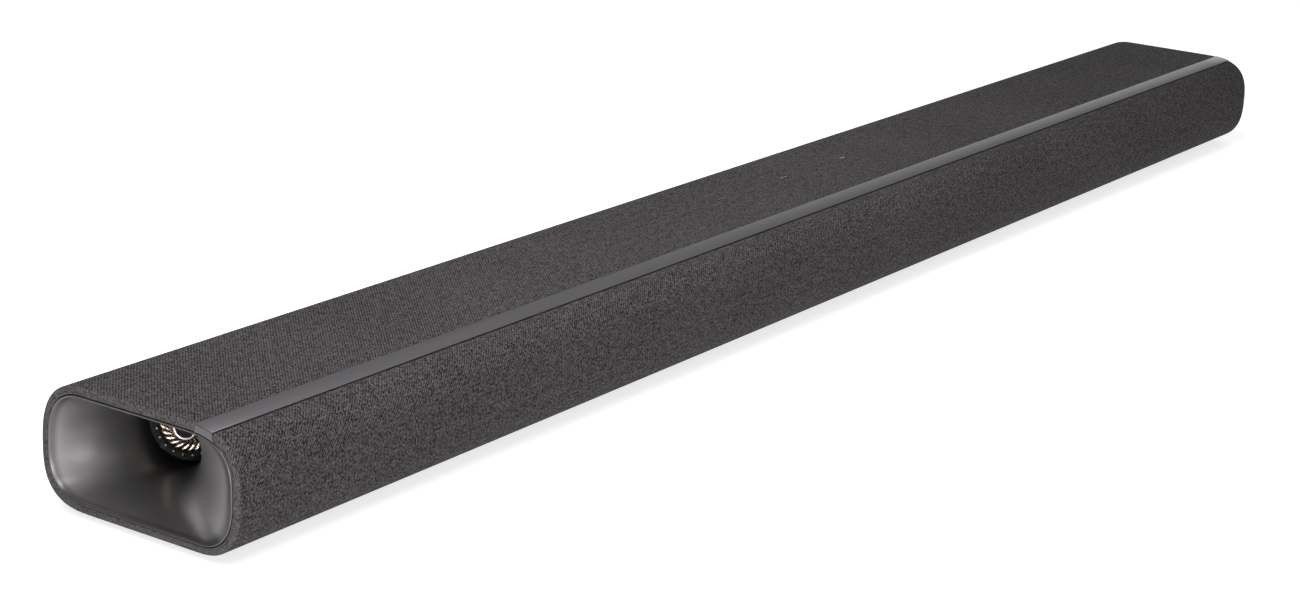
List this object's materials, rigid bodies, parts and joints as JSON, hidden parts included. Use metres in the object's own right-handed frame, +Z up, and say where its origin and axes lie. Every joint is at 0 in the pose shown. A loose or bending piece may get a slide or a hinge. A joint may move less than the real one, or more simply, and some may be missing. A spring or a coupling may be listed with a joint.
{
  "type": "soundbar",
  "caption": "Long fabric-wrapped bar loudspeaker with a metal trim strip, a flared horn with a bladed plug in each end, keys on top and a rear connector bay.",
  "frame": {"origin": "middle of the bar's length and depth, on the surface that the feet rest on", "axes": "+X along the bar to the right as seen from the front, -Y is the front, +Z up"},
  "size_m": [1.12, 0.125, 0.0652],
  "materials": {
    "casing_black": "moulded, fine texture",
    "grille_black": "moulded",
    "fabric_charcoal": "heathered charcoal knit",
    "strip_metal": "gunmetal anodised, satin",
    "horn_graphite": "satin graphite paint",
    "chamber_black": "moulded",
    "turbine_bronze": "polished, warm tint",
    "ring_silver": "polished",
    "cone_grey": "pressed fibre",
    "basket_black": "moulded",
    "dome_grey": "satin",
    "magnet_steel": "plated",
    "rubber_black": "soft",
    "key_black": "satin",
    "silicone": "translucent grey",
    "board_green": "solder mask",
    "heat_sink_aluminium": "extruded",
    "insert_brass": "turned"
  },
  "bodies": {
    "root": {"base_casing": "casing_black", "top_casing": "casing_black", "connector_panel": "casing_black", "base_plate": "casing_black", "optical_socket": "casing_black", "mains_inlet": "casing_black", "front_grille": "grille_black", "front_baffle": "grille_black", "status_display": "grille_black", "fabric_sleeve": "fabric_charcoal", "trim_strip": "strip_metal", "left_horn": "horn_graphite", "right_horn": "horn_graphite", "left_chamber": "chamber_black", "right_chamber": "chamber_black", "left_turbine": "turbine_bronze", "right_turbine": "turbine_bronze", "left_turbine_ring": "ring_silver", "right_turbine_ring": "ring_silver", "end_driver_baskets": "basket_black", "woofer_basket_1": "basket_black", "woofer_basket_2": "basket_black", "woofer_basket_3": "basket_black", "woofer_basket_4": "basket_black", "woofer_basket_5": "basket_black", "woofer_basket_6": "basket_black", "tweeter_frame_1": "basket_black", "tweeter_frame_2": "basket_black", "tweeter_frame_3": "basket_black", "driver_magnets": "magnet_steel", "casing_screws": "magnet_steel", "driver_screws": "magnet_steel", "hdmi_sockets": "magnet_steel", "usb_socket": "magnet_steel", "driver_surrounds": "rubber_black", "rubber_feet": "rubber_black", "key_dome_1": "silicone", "key_dome_2": "silicone", "key_dome_3": "silicone", "key_board": "board_green", "main_board": "board_green", "amplifier_board": "board_green", "power_supply_board": "board_green", "heat_sink": "heat_sink_aluminium", "wall_inserts": "insert_brass"},
    "woofer_cone_1": {"woofer_cone_1": "cone_grey"},
    "woofer_cone_2": {"woofer_cone_2": "cone_grey"},
    "woofer_cone_3": {"woofer_cone_3": "cone_grey"},
    "woofer_cone_4": {"woofer_cone_4": "cone_grey"},
    "woofer_cone_5": {"woofer_cone_5": "cone_grey"},
    "woofer_cone_6": {"woofer_cone_6": "cone_grey"},
    "tweeter_dome_1": {"tweeter_dome_1": "dome_grey"},
    "tweeter_dome_2": {"tweeter_dome_2": "dome_grey"},
    "tweeter_dome_3": {"tweeter_dome_3": "dome_grey"},
    "left_end_cone": {"left_end_cone": "cone_grey"},
    "right_end_cone": {"right_end_cone": "cone_grey"},
    "volume_down_key": {"volume_down_key": "key_black"},
    "source_key": {"source_key": "key_black"},
    "volume_up_key": {"volume_up_key": "key_black"}
  },
  "joints": [
    {"name": "woofer_stroke_1", "type": "slide", "parent": "root", "child": "woofer_cone_1", "axis": [0, -1, 0], "range_m": [-0.0025, 0.0025], "stiffness_N_per_m": 600},
    {"name": "woofer_stroke_2", "type": "slide", "parent": "root", "child": "woofer_cone_2", "axis": [0, -1, 0], "range_m": [-0.0025, 0.0025], "stiffness_N_per_m": 600},
    {"name": "woofer_stroke_3", "type": "slide", "parent": "root", "child": "woofer_cone_3", "axis": [0, -1, 0], "range_m": [-0.0025, 0.0025], "stiffness_N_per_m": 600},
    {"name": "woofer_stroke_4", "type": "slide", "parent": "root", "child": "woofer_cone_4", "axis": [0, -1, 0], "range_m": [-0.0025, 0.0025], "stiffness_N_per_m": 600},
    {"name": "woofer_stroke_5", "type": "slide", "parent": "root", "child": "woofer_cone_5", "axis": [0, -1, 0], "range_m": [-0.0025, 0.0025], "stiffness_N_per_m": 600},
    {"name": "woofer_stroke_6", "type": "slide", "parent": "root", "child": "woofer_cone_6", "axis": [0, -1, 0], "range_m": [-0.0025, 0.0025], "stiffness_N_per_m": 600},
    {"name": "tweeter_stroke_1", "type": "slide", "parent": "root", "child": "tweeter_dome_1", "axis": [0, -1, 0], "range_m": [-0.0003, 0.0003], "stiffness_N_per_m": 800},
    {"name": "tweeter_stroke_2", "type": "slide", "parent": "root", "child": "tweeter_dome_2", "axis": [0, -1, 0], "range_m": [-0.0003, 0.0003], "stiffness_N_per_m": 800},
    {"name": "tweeter_stroke_3", "type": "slide", "parent": "root", "child": "tweeter_dome_3", "axis": [0, -1, 0], "range_m": [-0.0003, 0.0003], "stiffness_N_per_m": 800},
    {"name": "left_end_stroke", "type": "slide", "parent": "root", "child": "left_end_cone", "axis": [-0.866, -0.5, 0], "range_m": [-0.002, 0.002], "stiffness_N_per_m": 600},
    {"name": "right_end_stroke", "type": "slide", "parent": "root", "child": "right_end_cone", "axis": [0.866, -0.5, 0], "range_m": [-0.002, 0.002], "stiffness_N_per_m": 600},
    {"name": "volume_down_press", "type": "slide", "parent": "root", "child": "volume_down_key", "axis": [0, 0, -1], "range_m": [0, 0.0005], "stiffness_N_per_m": 400, "springref_m": -0.001, "deforming": ["key_dome_1"]},
    {"name": "source_press", "type": "slide", "parent": "root", "child": "source_key", "axis": [0, 0, -1], "range_m": [0, 0.0005], "stiffness_N_per_m": 400, "springref_m": -0.001, "deforming": ["key_dome_2"]},
    {"name": "volume_up_press", "type": "slide", "parent": "root", "child": "volume_up_key", "axis": [0, 0, -1], "range_m": [0, 0.0005], "stiffness_N_per_m": 400, "springref_m": -0.001, "deforming": ["key_dome_3"]}
  ]
}
